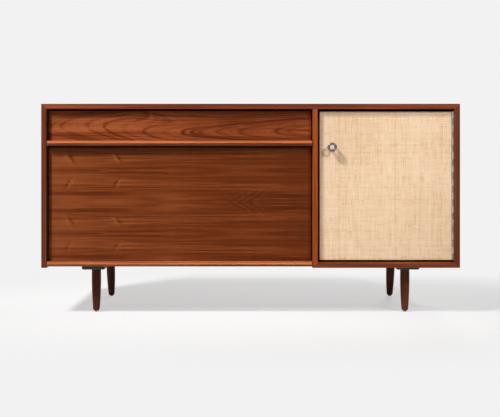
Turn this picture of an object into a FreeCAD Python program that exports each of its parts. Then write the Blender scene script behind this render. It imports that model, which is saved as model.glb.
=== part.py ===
import FreeCAD, Part
import math
import os
from types import SimpleNamespace

import Sketcher

# Sizes of the credenza in millimetres: name, value, what it measures.
SIZES = (
    # Case
    ("case_width", 1524.0, "outside width of the case"),
    ("case_depth", 457.0, "front edge to rear edge of the case"),
    ("case_height", 597.0, "underside to top of the case"),
    ("floor_clearance", 172.0, "floor to underside of the case"),
    ("board", 19.0, "thickness of the case boards"),
    ("edge_ease", 1.2, "rounding of the front edges"),
    ("door_opening", 498.5, "clear width between divider and right side"),
    ("bottom_setback", 37.0, "left bottom board behind the case front"),
    ("back_board", 6.0, "thickness of the back panel"),
    ("back_inset", 3.0, "back panel in from the rear edge"),
    ("rebate", 9.0, "overlap of the back panel on the boards"),
    ("back_fit", 0.5, "play round the back panel in its rebate"),
    ("overrun", 4.0, "how far a cut runs past the piece it cuts"),
    # Drawer fronts and their lip pulls
    ("front_board", 19.0, "thickness of the drawer fronts"),
    ("front_setback", 16.0, "drawer fronts behind the case front"),
    ("front_gap_top", 6.0, "gap over the top drawer front"),
    ("front_gap_side", 4.0, "gap beside the drawer fronts"),
    ("top_front_height", 109.0, "height of the top drawer front over its lip"),
    ("lip_height", 18.0, "height of a lip pull"),
    ("lip_proud", 8.0, "nose of a lip pull in front of the case"),
    ("lip_gap_side", 1.5, "gap beside a lip pull"),
    ("lip_gap_under", 6.0, "gap under the top drawer lip"),
    ("lip_bottom_gap", 5.0, "underside of the lower lip over the case underside"),
    ("lip_end_round", 2.5, "rounding of the ends of a lip pull"),
    ("cove_start", 12.0, "nose of a lip to its finger cove"),
    ("cove_width", 12.0, "width of the finger cove"),
    ("cove_radius", 7.0, "radius of the finger cove"),
    # Drawer boxes and runners
    ("box_board", 15.0, "thickness of the drawer box boards"),
    ("box_bottom", 6.0, "thickness of the drawer bottoms"),
    ("box_bottom_rise", 9.0, "drawer bottom over the lower edge of the box"),
    ("box_rear_gap", 23.0, "drawer box to back panel"),
    ("box_back_in", 12.0, "box back in from the rear ends of the box sides"),
    ("box_top_drop", 8.0, "top edge of the top drawer box under the top of its front"),
    ("deep_top_drop", 54.0, "top edge of the deep drawer box under the top of its front"),
    ("top_box_rise", 5.0, "lower edge of the top drawer box over the lip"),
    ("deep_box_rise", 4.0, "lower edge of the deep drawer box over the lip"),
    ("box_housing", 5.0, "depth of the box front and back in the box sides"),
    ("bottom_groove", 6.0, "depth of the grooves that hold a drawer bottom"),
    ("bottom_fit", 0.2, "play of a drawer bottom in its grooves"),
    ("side_play", 6.0, "drawer box to case, each side"),
    ("runner_thick", 12.0, "runner out from the case"),
    ("runner_height", 16.0, "height of a runner"),
    ("runner_setback", 52.0, "front end of a runner behind the case front"),
    ("runner_rear_gap", 10.0, "rear end of a runner to the back panel"),
    ("runner_groove", 7.0, "depth of the runner groove in a box side"),
    ("runner_seat", 0.2, "play between a runner and the groove that rides on it"),
    ("runner_under", 1.0, "play under a runner in its groove"),
    ("runner_stop", 0.5, "closed drawer: end of groove to end of runner"),
    ("rail_height", 20.0, "height of the rail between the drawers"),
    ("rail_depth", 50.0, "front to rear of the rail"),
    ("rail_drop", 6.0, "rail under the top drawer box"),
    ("rail_setback", 37.0, "rail behind the case front"),
    ("rail_tenon", 6.0, "rail ends let into side and divider"),
    # Door, hinge, pull and catch
    ("door_setback", 14.0, "face of the door behind the case front"),
    ("door_gap", 8.0, "gap over, under and to the left of the door"),
    ("door_board", 18.0, "thickness of the door board"),
    ("cloth", 1.0, "thickness of the raffia cloth"),
    ("barrel_radius", 2.75, "radius of the hinge knuckles"),
    ("leaf_stand", 0.2, "hinge leaf outside the knuckles"),
    ("leaf", 1.2, "thickness of a hinge leaf"),
    ("leaf_width", 17.5, "hinge pin to rear edge of a leaf"),
    ("leaf_relief", 0.6, "leaf edge clear of the other leaf's knuckles"),
    ("knuckle_gap", 0.4, "gap between knuckles"),
    ("pin_radius", 1.25, "radius of the hinge pin"),
    ("pin_fit", 0.05, "play of the knuckles on the pin"),
    ("pull_side", 44.5, "centre of the pull to the left edge of the door"),
    ("pull_drop", 131.0, "centre of the pull under the top edge of the door"),
    ("ring_radius", 12.5, "middle of the ring's bar to its centre"),
    ("ring_bar", 4.3, "radius of the ring's bar"),
    ("pull_reach", 25.5, "front of the ring to the face of the door"),
    ("post_radius", 2.9, "radius of the posts of the pull"),
    ("collar_radius", 4.6, "radius of the collars of the pull"),
    ("collar", 1.6, "thickness of the collars"),
    ("catch_width", 18.0, "catch out from the divider"),
    ("catch_depth", 24.0, "front to rear of the catch"),
    ("catch_height", 44.0, "height of the catch"),
    ("catch_drop", 60.0, "middle of the catch under the top of the door"),
    ("catch_gap", 0.5, "catch to strike with the door shut"),
    ("catch_screw_step", 14.0, "screws of catch and strike from its middle"),
    ("strike", 1.4, "thickness of the strike"),
    ("strike_inset", 1.0, "strike in from the edge of the door"),
    # Shelf
    ("shelf_setback", 14.0, "shelf behind the back of the door"),
    ("shelf_gap", 1.0, "gap at the ends and back of the shelf"),
    ("shelf_pin_radius", 3.0, "radius of a shelf pin"),
    ("shelf_pin_reach", 10.0, "shelf pin out of its hole"),
    ("shelf_hole_depth", 10.0, "depth of a shelf pin hole"),
    ("shelf_hole_step", 40.0, "step of the shelf pin holes"),
    ("shelf_pin_inset", 55.0, "shelf pins from the front and back of the shelf"),
    # Legs
    ("leg_side_inset", 187.5, "leg to the end of the case"),
    ("leg_end_inset", 74.0, "leg to the front or rear edge of the case"),
    ("leg_top_radius", 16.8, "radius of a leg at its plate"),
    ("leg_ankle_radius", 12.7, "radius of a leg over its rounded tip"),
    ("leg_tip_radius", 7.4, "radius of the flat end of a leg"),
    ("leg_tip", 9.0, "height of the rounded tip"),
    ("leg_tip_bow", 9.5, "radius of the rounding of the tip"),
    ("leg_side_bow", 1500.0, "radius of the swell of a leg's side"),
    ("leg_trim", 6.0, "leg over its plate before its top is cut level"),
    ("glide", 4.0, "leg tip to floor"),
    ("glide_top_radius", 7.0, "radius of a glide at the leg"),
    ("glide_foot_radius", 5.6, "radius of a glide at its foot"),
    ("plate_width", 84.0, "leg plate along the case"),
    ("plate_depth", 72.0, "leg plate front to rear"),
    ("plate", 12.0, "thickness of a leg plate"),
    ("plate_outset", 5.0, "leg plate's middle outside its leg"),
    ("plate_chamfer", 3.5, "chamfer of a leg plate's lower edges"),
    ("plate_screw_side", 32.0, "plate screws from the plate's middle, along the case"),
    ("plate_screw_end", 26.0, "plate screws from the plate's middle, front to rear"),
    ("bolt_radius", 4.0, "radius of the bolt that holds a leg"),
    ("bolt_down", 26.0, "leg bolt into its leg"),
    ("bolt_up", 22.0, "leg bolt over the top of its leg"),
    # Screws
    ("screw_radius", 2.0, "radius of a wood screw"),
    ("screw_head_radius", 3.9, "radius of a wood screw's head"),
    ("screw_head", 2.3, "height of a wood screw's head"),
    ("screw_length", 25.0, "length of a wood screw"),
    ("small_screw_radius", 1.2, "radius of a hinge screw"),
    ("small_head_radius", 2.3, "radius of a hinge screw's head"),
    ("small_head", 1.1, "height of a hinge screw's head"),
    ("small_length", 13.0, "length of a hinge screw"),
    ("pull_screw_length", 27.0, "length of the screws of the pull"),
    ("screw_tip", 3.0, "pointed end of a screw"),
    ("screw_fit", 0.1, "play round a screw in its hole"),
    ("slot_width", 0.9, "width of a screw slot"),
    ("slot_depth", 0.8, "depth of a screw slot"),
)
LEG_RAKE = 10.0
FULL_TURN = 360.0
QUARTER_TURN = 90.0
HALF_TURN = 180.0
SAME_PLACE = 1e-4
KNUCKLES = 22
SHELF_HOLES = 5

doc = FreeCAD.newDocument("credenza")
sheet = doc.addObject("Spreadsheet::Sheet", "Sizes")
for row, (size_name, size_value, meaning) in enumerate(SIZES, start=1):
    sheet.set(f"A{row}", size_name)
    sheet.set(f"B{row}", str(size_value))
    sheet.set(f"C{row}", meaning)
    sheet.setAlias(f"B{row}", size_name)
rake_row = len(SIZES) + 1
sheet.set(f"A{rake_row}", "leg_rake")
sheet.set(f"B{rake_row}", str(LEG_RAKE))
sheet.set(f"C{rake_row}", "lean of the rear legs in degrees")
sheet.setAlias(f"B{rake_row}", "leg_rake")
doc.recompute()


class Length:
    """A length with its value now and the sheet formula that gives it."""

    def __init__(self, value, formula):
        self.value = value
        self.formula = formula

    def __add__(self, other):
        return Length(self.value + other.value, f"({self.formula} + {other.formula})")

    def __sub__(self, other):
        return Length(self.value - other.value, f"({self.formula} - {other.formula})")

    def __neg__(self):
        return Length(-self.value, f"(-{self.formula})")

    def __mul__(self, factor):
        if isinstance(factor, Length):
            return Length(self.value * factor.value, f"({self.formula} * {factor.formula})")
        return Length(self.value * factor, f"({self.formula} * {factor})")

    def __truediv__(self, divisor):
        return Length(self.value / divisor, f"({self.formula} / {divisor})")


sz = SimpleNamespace(**{name: Length(value, f"Sizes.{name}") for name, value, meaning in SIZES})
NOTHING = Length(0.0, "0")
RAKE_SINE = Length(math.sin(math.radians(LEG_RAKE)), "sin(Sizes.leg_rake * 1 deg)")
RAKE_COSINE = Length(math.cos(math.radians(LEG_RAKE)), "cos(Sizes.leg_rake * 1 deg)")
RAKE_STRETCH = Length(1 / RAKE_COSINE.value, f"(1 / {RAKE_COSINE.formula})")
REAR_LEAN = FreeCAD.Rotation(FreeCAD.Vector(1, 0, 0), LEG_RAKE)

# Where the main planes lie: X along the case, Y to the rear, Z up, the floor at zero.
half_width = sz.case_width / 2
pull_proud = sz.pull_reach - sz.door_setback
front = -(sz.case_depth - pull_proud) / 2
rear = front + sz.case_depth
underside = sz.floor_clearance
roof = underside + sz.case_height
ceiling = roof - sz.board
floor_top = underside + sz.board
inner_left = -half_width + sz.board
inner_right = half_width - sz.board
divider_right = inner_right - sz.door_opening
divider_left = divider_right - sz.board
back_face = rear - sz.back_inset
back_inside = back_face - sz.back_board

TURNS = {
    "+x": FreeCAD.Rotation(FreeCAD.Vector(0, 1, 0), QUARTER_TURN),
    "-x": FreeCAD.Rotation(FreeCAD.Vector(0, 1, 0), -QUARTER_TURN),
    "+y": FreeCAD.Rotation(FreeCAD.Vector(1, 0, 0), -QUARTER_TURN),
    "-y": FreeCAD.Rotation(FreeCAD.Vector(1, 0, 0), QUARTER_TURN),
    "+z": FreeCAD.Rotation(),
    "-z": FreeCAD.Rotation(FreeCAD.Vector(1, 0, 0), HALF_TURN),
}
nodes = {}


def node(name, item):
    """Names a finished piece."""
    item.Label = name
    nodes[name] = item
    return item


def bind(item, path, length):
    item.setExpression(path, length.formula)


def place(item, spot):
    for axis, length in zip("xyz", spot):
        bind(item, f"Placement.Base.{axis}", length)


def turn(item, direction):
    item.Placement = FreeCAD.Placement(FreeCAD.Vector(), TURNS[direction])


def box(name, low, high):
    """A block between two opposite corners."""
    item = doc.addObject("Part::Box", name)
    for side, low_side, high_side in zip(("Length", "Width", "Height"), low, high):
        bind(item, side, high_side - low_side)
    place(item, low)
    return item


def grown(name, low, high, growth):
    """The block between two corners, larger by a growth for each axis on both of its sides."""
    new_low = [side - more for side, more in zip(low, growth)]
    new_high = [side + more for side, more in zip(high, growth)]
    return box(name, new_low, new_high)


def rod(name, start, direction, radius, length):
    item = doc.addObject("Part::Cylinder", name)
    turn(item, direction)
    bind(item, "Radius", radius)
    bind(item, "Height", length)
    place(item, start)
    return item


def cut(name, whole, *tools):
    """The piece with each tool taken out of it in turn."""
    for count, tool in enumerate(tools):
        item = doc.addObject("Part::Cut", f"{name}_cut_{count}")
        item.Base = whole
        item.Tool = tool
        whole = item
    return whole


def fuse(name, *items):
    item = doc.addObject("Part::MultiFuse", name)
    item.Shapes = list(items)
    return item


def group(name, items):
    item = doc.addObject("Part::Compound", name)
    item.Links = list(items)
    return item


def copy_at(name, master, direction, spot):
    """Another of the same piece, turned to a direction and set at a spot."""
    item = doc.addObject("App::Link", name)
    item.LinkedObject = master
    item.LinkTransform = False
    turn(item, direction)
    place(item, spot)
    return item


def curve_between(start, end, radius, side):
    """The arc of a radius from one point to another, bowed to one side of the straight line."""
    run = FreeCAD.Vector(end[0] - start[0], end[1] - start[1], 0)
    middle = FreeCAD.Vector(*start, 0) + run / 2
    rise = radius - math.sqrt(radius**2 - (run.Length / 2) ** 2)
    across = FreeCAD.Vector(-run.y, run.x, 0).normalize()
    return Part.Arc(FreeCAD.Vector(*start, 0), middle + across * (rise * side), FreeCAD.Vector(*end, 0))


def outline(body, plane_name, corners):
    """A closed sketch through corners (across, up) or (across, up, radius, side), the last two for an arc to the next."""
    sketch = doc.addObject("Sketcher::SketchObject", f"{body.Name}_outline")
    body.addObject(sketch)
    plane = [item for item in body.Origin.OriginFeatures if item.Role == plane_name][0]
    sketch.AttachmentSupport = [(plane, "")]
    sketch.MapMode = "FlatFace"
    ends = []
    for corner, following in zip(corners, corners[1:] + corners[:1]):
        start = (corner[0].value, corner[1].value)
        end = (following[0].value, following[1].value)
        if len(corner) == 2:
            line = Part.LineSegment(FreeCAD.Vector(*start, 0), FreeCAD.Vector(*end, 0))
            sketch.addGeometry(line, False)
            ends.append((1, 2))
        else:
            number = sketch.addGeometry(curve_between(start, end, corner[2].value, corner[3]), False)
            begins = sketch.getPoint(number, 1)
            forward = math.dist((begins.x, begins.y), start) < math.dist((begins.x, begins.y), end)
            ends.append((1, 2) if forward else (2, 1))
    for number in range(len(corners)):
        following = (number + 1) % len(corners)
        sketch.addConstraint(
            Sketcher.Constraint("Coincident", number, ends[number][1], following, ends[following][0])
        )
    for number, corner in enumerate(corners):
        for kind, length in zip(("DistanceX", "DistanceY"), corner):
            made = sketch.addConstraint(
                Sketcher.Constraint(kind, -1, 1, number, ends[number][0], length.value)
            )
            sketch.setExpression(f"Constraints[{made}]", length.formula)
        if len(corner) > 2:
            made = sketch.addConstraint(Sketcher.Constraint("Radius", number, corner[2].value))
            sketch.setExpression(f"Constraints[{made}]", corner[2].formula)
    return sketch


def feature(body, kind, name, sketch):
    item = doc.addObject(f"PartDesign::{kind}", f"{body.Name}_{name}")
    body.addObject(item)
    item.Profile = sketch
    body.Tip = item
    return item


def padded(name, plane_name, corners, depth, spot):
    """A body of one outline drawn out to a depth: to the rear from XZ, along the case from YZ, up from XY."""
    body = doc.addObject("PartDesign::Body", name)
    pad = feature(body, "Pad", "pad", outline(body, plane_name, corners))
    bind(pad, "Length", depth)
    pad.Reversed = plane_name == "XZ_Plane"
    place(body, spot)
    doc.recompute()
    return body


def turned(name, corners):
    """A body of one outline turned about its upright axis."""
    body = doc.addObject("PartDesign::Body", name)
    sketch = outline(body, "XZ_Plane", corners)
    item = feature(body, "Revolution", "turning", sketch)
    item.ReferenceAxis = (sketch, ["V_Axis"])
    item.Angle = FULL_TURN
    doc.recompute()
    return body


def lies_at(edge, axis, position):
    low = getattr(edge.BoundBox, f"{axis}Min")
    high = getattr(edge.BoundBox, f"{axis}Max")
    return math.isclose(low, position, abs_tol=SAME_PLACE) and math.isclose(high, position, abs_tol=SAME_PLACE)


def dress(body, kind, property_name, length, chosen):
    """Rounds or chamfers the chosen edges of a body; the test sees each edge in the body's own frame."""
    base = body.Tip
    names = [f"Edge{count}" for count, edge in enumerate(base.Shape.Edges, start=1) if chosen(edge)]
    item = doc.addObject(f"PartDesign::{kind}", f"{body.Name}_{kind.lower()}")
    body.addObject(item)
    item.Base = (base, names)
    bind(item, property_name, length)
    body.Tip = item
    doc.recompute()
    return body


def straight(edge, axis):
    """Whether an edge of the front runs along one axis only."""
    other = "Z" if axis == "X" else "X"
    return math.isclose(getattr(edge.BoundBox, f"{other}Length"), 0, abs_tol=SAME_PLACE)


def ease_front(body, axes):
    """Rounds the front edges of a body that run along the named axes."""

    def chosen(edge):
        return lies_at(edge, "Y", 0) and any(straight(edge, axis) for axis in axes)

    return dress(body, "Fillet", "Radius", sz.edge_ease, chosen)


def screw_kind(name, radius, head_radius, head, length):
    """One slotted countersunk screw along +Z from its head, and the hole that it sits in."""
    shape = turned(f"{name}_shank", [
        (NOTHING, NOTHING),
        (head_radius, NOTHING),
        (radius, head),
        (radius, length - sz.screw_tip),
        (NOTHING, length),
    ])
    slot = box(
        f"{name}_slot",
        (-head_radius, -sz.slot_width / 2, -sz.slot_depth),
        (head_radius, sz.slot_width / 2, sz.slot_depth),
    )
    hole = turned(f"{name}_hole", [
        (NOTHING, -sz.overrun),
        (head_radius + sz.screw_fit, -sz.overrun),
        (head_radius + sz.screw_fit, NOTHING),
        (radius + sz.screw_fit, head),
        (radius + sz.screw_fit, length + sz.screw_fit),
        (NOTHING, length + sz.screw_fit),
    ])
    return cut(name, shape, slot), hole


def fastened(name, kind, direction, spots):
    """A set of screws of one kind, and the set of their holes."""
    screw, hole = kind
    screws = [copy_at(f"{name}_{count}", screw, direction, spot) for count, spot in enumerate(spots)]
    holes = [copy_at(f"{name}_hole_{count}", hole, direction, spot) for count, spot in enumerate(spots)]
    return screws, group(f"{name}_holes", holes)


wood_screw = screw_kind("wood_screw", sz.screw_radius, sz.screw_head_radius, sz.screw_head, sz.screw_length)
small_screw = screw_kind(
    "small_screw", sz.small_screw_radius, sz.small_head_radius, sz.small_head, sz.small_length
)
pull_screw = screw_kind(
    "pull_screw", sz.screw_radius, sz.screw_head_radius, sz.screw_head, sz.pull_screw_length
)

# Case boards, mitred where they meet at a corner. The left side is square in front of the left bottom board.
at_front = (NOTHING, front, NOTHING)
case_top = ease_front(padded("top_board", "XZ_Plane", [
    (-half_width, roof),
    (half_width, roof),
    (inner_right, ceiling),
    (inner_left, ceiling),
], sz.case_depth, at_front), "X")
left_side = ease_front(padded("left_board", "XZ_Plane", [
    (-half_width, underside),
    (inner_left, underside),
    (inner_left, ceiling),
    (-half_width, roof),
], sz.case_depth, at_front), "Z")
left_mitre = padded("left_mitre", "XZ_Plane", [
    (-half_width - sz.overrun, underside - sz.overrun),
    (inner_left + sz.overrun, underside - sz.overrun),
    (inner_left + sz.overrun, floor_top + sz.overrun),
], sz.case_depth - sz.bottom_setback + sz.overrun, (NOTHING, front + sz.bottom_setback, NOTHING))
right_side = ease_front(padded("right_board", "XZ_Plane", [
    (half_width, underside),
    (half_width, roof),
    (inner_right, ceiling),
    (inner_right, floor_top),
], sz.case_depth, at_front), "Z")
divider = ease_front(padded("divider_board", "XZ_Plane", [
    (divider_left, underside),
    (divider_right, floor_top),
    (divider_right, ceiling),
    (divider_left, ceiling),
], sz.case_depth, at_front), "Z")
right_bottom = ease_front(padded("right_bottom_board", "XZ_Plane", [
    (divider_left, underside),
    (half_width, underside),
    (inner_right, floor_top),
    (divider_right, floor_top),
], sz.case_depth, at_front), "X")
left_bottom = ease_front(padded("left_bottom_board", "XZ_Plane", [
    (-half_width, underside),
    (divider_left, underside),
    (divider_left, floor_top),
    (inner_left, floor_top),
], sz.case_depth - sz.bottom_setback, (NOTHING, front + sz.bottom_setback, NOTHING)), "X")

# Back panel in a rebate round the rear of the case.
rebate_low = (inner_left - sz.rebate, back_inside, floor_top - sz.rebate)
rebate_high = (inner_right + sz.rebate, rear + sz.overrun, ceiling + sz.rebate)
rebate_cut = box("rebate_cut", rebate_low, rebate_high)
back_board = box(
    "back_board",
    (rebate_low[0] + sz.back_fit, back_inside, rebate_low[2] + sz.back_fit),
    (rebate_high[0] - sz.back_fit, back_face, rebate_high[2] - sz.back_fit),
)
back_screw_shares = (-0.86, -0.43, 0.0, 0.43, 0.86)
upper_row = ceiling + sz.rebate / 2
lower_row = floor_top - sz.rebate / 2
middle_row = (floor_top + ceiling) / 2
divider_middle = divider_left + sz.board / 2
back_spots = [
    (half_width * share, back_face, level) for level in (upper_row, lower_row) for share in back_screw_shares
]
back_spots += [
    (across, back_face, middle_row)
    for across in (inner_left - sz.rebate / 2, divider_middle, inner_right + sz.rebate / 2)
]
back_screws, back_holes = fastened("back_screw", small_screw, "-y", back_spots)
node("back_panel", cut("back_panel", back_board, back_holes))
node("back_panel_screws", group("back_panel_screws", back_screws))
node("case_top", cut("case_top", case_top, rebate_cut, back_holes))

# Heights of the drawer fronts, their lips and their boxes.
top_front_high = ceiling - sz.front_gap_top
top_front_low = top_front_high - sz.top_front_height
deep_front_high = top_front_low - sz.lip_height - sz.lip_gap_under
deep_front_low = underside + sz.lip_bottom_gap + sz.lip_height
top_box_low = top_front_low + sz.top_box_rise
top_box_high = top_front_high - sz.box_top_drop
deep_box_low = deep_front_low + sz.deep_box_rise
deep_box_high = deep_front_high - sz.deep_top_drop
top_runner_share = 0.5
deep_runner_share = 0.36
top_runner_level = top_box_low + (top_box_high - top_box_low) * top_runner_share
deep_runner_level = deep_box_low + (deep_box_high - deep_box_low) * deep_runner_share

# Rail between the drawers, let into the side and the divider.
rail_high = top_box_low - sz.rail_drop
rail = box(
    "rail",
    (inner_left - sz.rail_tenon, front + sz.rail_setback, rail_high - sz.rail_height),
    (divider_left + sz.rail_tenon, front + sz.rail_setback + sz.rail_depth, rail_high),
)
node("drawer_rail", rail)

# Runners on the side and the divider, one pair for each drawer.
runner_front = front + sz.runner_setback
runner_rear = back_inside - sz.runner_rear_gap
runner_screw_shares = (0.1, 0.5, 0.9)
runner_screws = []
runner_holes = {"left": [], "right": []}


def runner(name, side, level):
    """A runner with its three screws."""
    low = level - sz.runner_height / 2
    high = level + sz.runner_height / 2
    if side == "left":
        outside, inside, direction = inner_left, inner_left + sz.runner_thick, "-x"
        ends = (outside, inside)
    else:
        outside, inside, direction = divider_left, divider_left - sz.runner_thick, "+x"
        ends = (inside, outside)
    strip = box(f"{name}_strip", (ends[0], runner_front, low), (ends[1], runner_rear, high))
    spots = [
        (inside, runner_front + (runner_rear - runner_front) * share, level) for share in runner_screw_shares
    ]
    screws, holes = fastened(f"{name}_screw", wood_screw, direction, spots)
    runner_screws.extend(screws)
    runner_holes[side].append(holes)
    node(name, cut(name, strip, holes))


for drawer_name, level in (("top", top_runner_level), ("deep", deep_runner_level)):
    for side in ("left", "right"):
        runner(f"{drawer_name}_runner_{side}", side, level)
node("runner_screws", group("runner_screws", runner_screws))
node("case_left_side", cut(
    "case_left_side", left_side, left_mitre, rebate_cut, back_holes, rail, *runner_holes["left"]
))

# Drawers: a front with a lip pull along its lower edge, screwed to a box with a captive bottom.
front_face = front + sz.front_setback
front_back = front_face + sz.front_board
box_left = inner_left + sz.side_play
box_right = divider_left - sz.side_play
box_rear = back_inside - sz.box_rear_gap
lip_left = inner_left + sz.lip_gap_side
lip_right = divider_left - sz.lip_gap_side
front_screw_shares = (-0.42, -0.14, 0.14, 0.42)


def lip(name, level):
    """A pull with a rounded nose and a finger cove underneath, its top at the given level."""
    nose = sz.lip_height / 2
    depth = sz.lip_proud + sz.front_setback + sz.front_board
    body = padded(f"{name}_strip", "YZ_Plane", [
        (nose, NOTHING, nose, -1),
        (NOTHING, nose, nose, -1),
        (nose, sz.lip_height),
        (depth, sz.lip_height),
        (depth, NOTHING),
        (sz.cove_start + sz.cove_width, NOTHING, sz.cove_radius, -1),
        (sz.cove_start, NOTHING),
    ], lip_right - lip_left, (lip_left, front - sz.lip_proud, level - sz.lip_height))
    length = (lip_right - lip_left).value
    reach = nose.value

    def chosen(edge):
        at_end = lies_at(edge, "X", 0) or lies_at(edge, "X", length)
        return at_end and edge.BoundBox.YMin < reach / 2

    return node(name, dress(body, "Fillet", "Radius", sz.lip_end_round, chosen))


def drawer(name, front_low, front_high, box_low, box_high, runner_level, screw_level_shares):
    """All pieces of one drawer."""
    left = inner_left + sz.front_gap_side
    right = divider_left - sz.front_gap_side
    panel = padded(f"{name}_panel", "XZ_Plane", [
        (left, front_low),
        (right, front_low),
        (right, front_high),
        (left, front_high),
    ], sz.front_board, (NOTHING, front_face, NOTHING))
    ease_front(panel, "XZ")
    lip(f"{name}_lip", front_low)
    middle = (box_left + box_right) / 2
    spots = [
        (middle + (box_right - box_left) * share, front_back + sz.box_board,
         box_low + (box_high - box_low) * level_share)
        for level_share in screw_level_shares
        for share in front_screw_shares
    ]
    screws, holes = fastened(f"{name}_screw", wood_screw, "-y", spots)
    node(f"{name}_screws", group(f"{name}_screws", screws))
    node(f"{name}_front", cut(f"{name}_front", panel, holes))

    inside_left = box_left + sz.box_board
    inside_right = box_right - sz.box_board
    back_rear = box_rear - sz.box_back_in
    front_board = box(
        f"{name}_front_board",
        (inside_left - sz.box_housing, front_back, box_low),
        (inside_right + sz.box_housing, front_back + sz.box_board, box_high),
    )
    back_board = box(
        f"{name}_back_board",
        (inside_left - sz.box_housing, back_rear - sz.box_board, box_low),
        (inside_right + sz.box_housing, back_rear, box_high),
    )
    bottom_low = (
        inside_left - sz.bottom_groove,
        front_back + sz.box_board - sz.bottom_groove,
        box_low + sz.box_bottom_rise,
    )
    bottom_high = (
        inside_right + sz.bottom_groove,
        back_rear - sz.box_board + sz.bottom_groove,
        box_low + sz.box_bottom_rise + sz.box_bottom,
    )
    play = (sz.bottom_fit, sz.bottom_fit, sz.bottom_fit)
    groove = grown(f"{name}_groove", bottom_low, bottom_high, play)
    node(f"{name}_bottom", box(f"{name}_bottom_board", bottom_low, bottom_high))
    node(f"{name}_box_front", cut(f"{name}_box_front", front_board, groove, holes))
    node(f"{name}_box_back", cut(f"{name}_box_back", back_board, groove))

    slot_low = runner_level - sz.runner_height / 2 - sz.runner_under
    slot_high = runner_level + sz.runner_height / 2 + sz.runner_seat
    slot_front = runner_front - sz.runner_stop
    for side in ("left", "right"):
        if side == "left":
            outer, inner = box_left, inside_left
            slot_ends = (outer - sz.overrun, outer + sz.runner_groove)
            ends = (outer, inner)
        else:
            outer, inner = box_right, inside_right
            slot_ends = (outer - sz.runner_groove, outer + sz.overrun)
            ends = (inner, outer)
        board = box(
            f"{name}_{side}_board", (ends[0], front_back, box_low), (ends[1], box_rear, box_high)
        )
        slot = box(
            f"{name}_{side}_slot",
            (slot_ends[0], slot_front, slot_low),
            (slot_ends[1], box_rear + sz.overrun, slot_high),
        )
        label = f"{name}_{side}_side"
        node(label, cut(label, board, slot, front_board, back_board, groove))


drawer("top_drawer", top_front_low, top_front_high, top_box_low, top_box_high, top_runner_level, (0.5,))
drawer(
    "deep_drawer", deep_front_low, deep_front_high, deep_box_low, deep_box_high, deep_runner_level, (0.22, 0.82)
)

# Door with its cloth; the hinge pin lies in the plane of the cloth.
stand = sz.barrel_radius + sz.leaf_stand
pin_across = inner_right - stand
door_left = divider_right + sz.door_gap
door_right = pin_across - stand
door_low = floor_top + sz.door_gap
door_high = ceiling - sz.door_gap
door_face = front + sz.door_setback
cloth_back = door_face + sz.cloth
door_back = cloth_back + sz.door_board
hinge_length = door_high - door_low

door_board = box("door_board", (door_left, cloth_back, door_low), (door_right, door_back, door_high))
raffia = box("raffia", (door_left, door_face, door_low), (door_right, cloth_back, door_high))

pull_across = door_left + sz.pull_side
pull_level = door_high - sz.pull_drop
ring_plane = door_face - sz.pull_reach + sz.ring_bar
ring = doc.addObject("Part::Torus", "ring")
turn(ring, "-y")
bind(ring, "Radius1", sz.ring_radius)
bind(ring, "Radius2", sz.ring_bar)
place(ring, (pull_across, ring_plane, pull_level))
post_spots = [(pull_across + sz.ring_radius * way, level) for way, level in ((-1, pull_level), (1, pull_level))]
pull_pieces = [ring]
for count, (across, level) in enumerate(post_spots):
    pull_pieces.append(
        rod(f"post_{count}", (across, ring_plane, level), "+y", sz.post_radius, door_face - ring_plane)
    )
    collar_front = door_face - sz.collar
    pull_pieces.append(
        rod(f"collar_{count}", (across, collar_front, level), "+y", sz.collar_radius, sz.collar)
    )
pull_spots = [(across, door_back, level) for across, level in post_spots]
pull_screws, pull_holes = fastened("pull_screw_at", pull_screw, "-y", pull_spots)
node("door_pull_ring", cut("door_pull_ring", fuse("pull_solid", *pull_pieces), pull_holes))
node("door_pull_screws", group("door_pull_screws", pull_screws))
node("door_raffia", cut("door_raffia", raffia, pull_holes))

# Piano hinge: knuckles of the two leaves take turns along the pin.
pitch = hinge_length / KNUCKLES
knuckle_length = pitch - sz.knuckle_gap
leaf_front = sz.barrel_radius + sz.leaf_relief
pin_bore = rod(
    "pin_bore",
    (pin_across, door_face, door_low - sz.overrun),
    "+z",
    sz.pin_radius + sz.pin_fit,
    hinge_length + sz.overrun * 2,
)
hinge_screw_shares = (0.04, 0.194, 0.347, 0.5, 0.653, 0.806, 0.96)
hinge_screw_run = door_face + (leaf_front + sz.leaf_width) / 2
node("hinge_pin", rod("pin", (pin_across, door_face, door_low), "+z", sz.pin_radius, hinge_length))


def hinge_leaf(name, way, first, direction):
    """One leaf: a long plate with every other knuckle, on the side of the pin that the way gives."""
    edge_across = (stand * way, (stand - sz.leaf) * way)
    low_across, high_across = edge_across if way < 0 else edge_across[::-1]
    plate = box(
        f"{name}_plate",
        (pin_across + low_across, door_face + leaf_front, door_low),
        (pin_across + high_across, door_face + sz.leaf_width, door_high),
    )
    knuckle = rod(f"{name}_barrel", (NOTHING, NOTHING, NOTHING), "+z", sz.barrel_radius, knuckle_length)
    web = box(
        f"{name}_web",
        (low_across, NOTHING, NOTHING),
        (high_across, leaf_front + sz.leaf_relief, knuckle_length),
    )
    master = fuse(f"{name}_knuckle", knuckle, web)
    copies = [
        copy_at(
            f"{name}_knuckle_{count}",
            master,
            "+z",
            (pin_across, door_face, door_low + pitch * count + sz.knuckle_gap / 2),
        )
        for count in range(first, KNUCKLES, 2)
    ]
    solid = fuse(f"{name}_solid", plate, *copies)
    spots = [
        (pin_across + (stand - sz.leaf) * way, hinge_screw_run, door_low + hinge_length * share)
        for share in hinge_screw_shares
    ]
    screws, holes = fastened(f"{name}_screw", small_screw, direction, spots)
    node(name, cut(name, solid, pin_bore, holes))
    return screws, holes


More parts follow.
